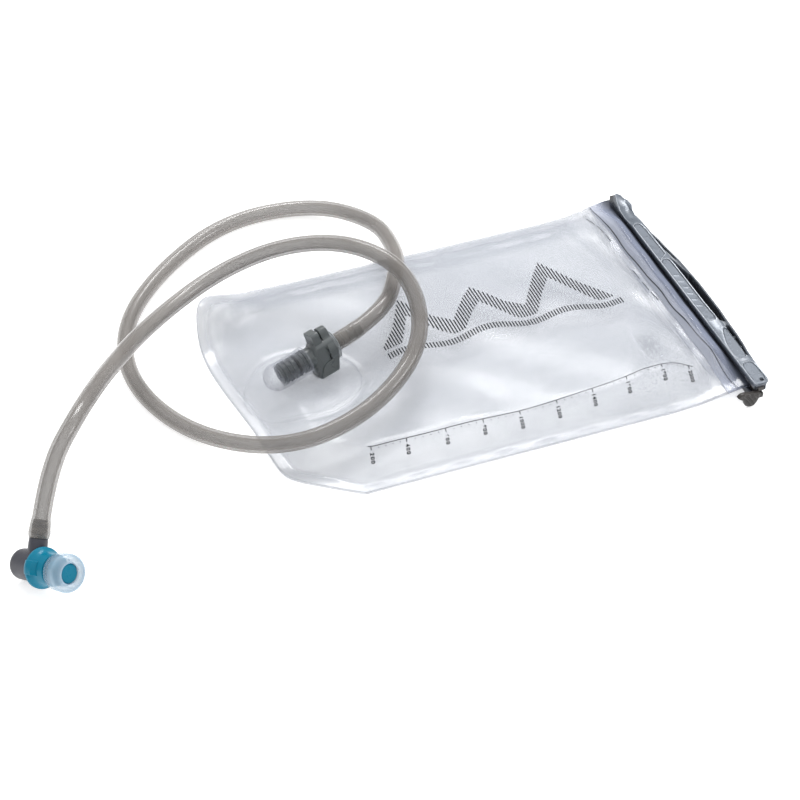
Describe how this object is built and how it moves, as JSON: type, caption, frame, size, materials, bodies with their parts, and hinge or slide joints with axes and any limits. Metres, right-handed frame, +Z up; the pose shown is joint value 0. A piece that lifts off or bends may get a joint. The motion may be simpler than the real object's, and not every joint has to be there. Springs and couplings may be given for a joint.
{
  "type": "hydration bladder",
  "caption": "Flat film drinking reservoir with a slide-off top closure, a quick-release port and a hose that ends in a twist-lock bite valve.",
  "frame": {"origin": "centre of the reservoir and its closure in plan, on the table that the reservoir's back panel lies on", "axes": "+X along the reservoir from its bottom end to the closure at its mouth, +Y across it, +Z up out of the front panel"},
  "size_m": [0.4312, 0.2865, 0.0604],
  "materials": {
    "film": "translucent thermoplastic film, glossy, faintly milky",
    "hem_film": "thicker translucent film, glossy",
    "rail_plastic": "dark grey-brown moulded plastic",
    "slider_plastic": "steel-grey moulded plastic, satin",
    "clear_moulding": "clear soft moulding",
    "coupling_plastic": "mid grey moulded plastic, satin",
    "seal_rubber": "black rubber o-rings",
    "spring_wire": "stainless spring wire",
    "hose_plastic": "smoky translucent flexible hose",
    "elbow_plastic": "dark grey moulded plastic, fine grain",
    "valve_teal": "teal moulded plastic, satin",
    "silicone": "translucent silicone"
  },
  "bodies": {
    "reservoir": {"back_film": "film", "front_film": "film", "front_hem": "hem_film", "rear_hem": "hem_film", "front_rail": "rail_plastic", "rear_rail": "rail_plastic", "port_patch": "clear_moulding", "port_boot": "clear_moulding", "socket_body": "coupling_plastic", "socket_seal": "seal_rubber", "poppet_spring": "spring_wire", "button_spring": "spring_wire", "tube_plug": "coupling_plastic", "plug_seal": "seal_rubber", "drink_hose": "hose_plastic", "valve_elbow": "elbow_plastic", "shutoff_disc": "elbow_plastic", "collar_seal": "seal_rubber"},
    "slider": {"closure_slider": "slider_plastic"},
    "button": {"release_button": "coupling_plastic"},
    "poppet": {"check_poppet": "coupling_plastic", "poppet_seal": "seal_rubber"},
    "twist_head": {"twist_collar": "valve_teal", "valve_core": "valve_teal", "mouthpiece": "silicone"}
  },
  "joints": [
    {"name": "closure_slide", "type": "slide", "parent": "reservoir", "child": "slider", "axis": [0, 1, 0], "range_m": [0, 0.195]},
    {"name": "button_press", "type": "slide", "parent": "reservoir", "child": "button", "axis": [0.2461, -0.3606, -0.8997], "range_m": [0, 0.0012], "stiffness_N_per_m": 300, "springref_m": -0.002, "deforming": ["button_spring"]},
    {"name": "poppet_slide", "type": "slide", "parent": "reservoir", "child": "poppet", "axis": [-0.9596, -0.2215, -0.1736], "range_m": [0, 0.0014], "stiffness_N_per_m": 100, "springref_m": -0.003, "deforming": ["poppet_spring"]},
    {"name": "valve_twist", "type": "hinge", "parent": "reservoir", "child": "twist_head", "pos_m": [-0.2818, -0.0792, 0.0066], "axis": [0.4255, -0.8002, 0.4226], "range_deg": [0, 90]}
  ]
}
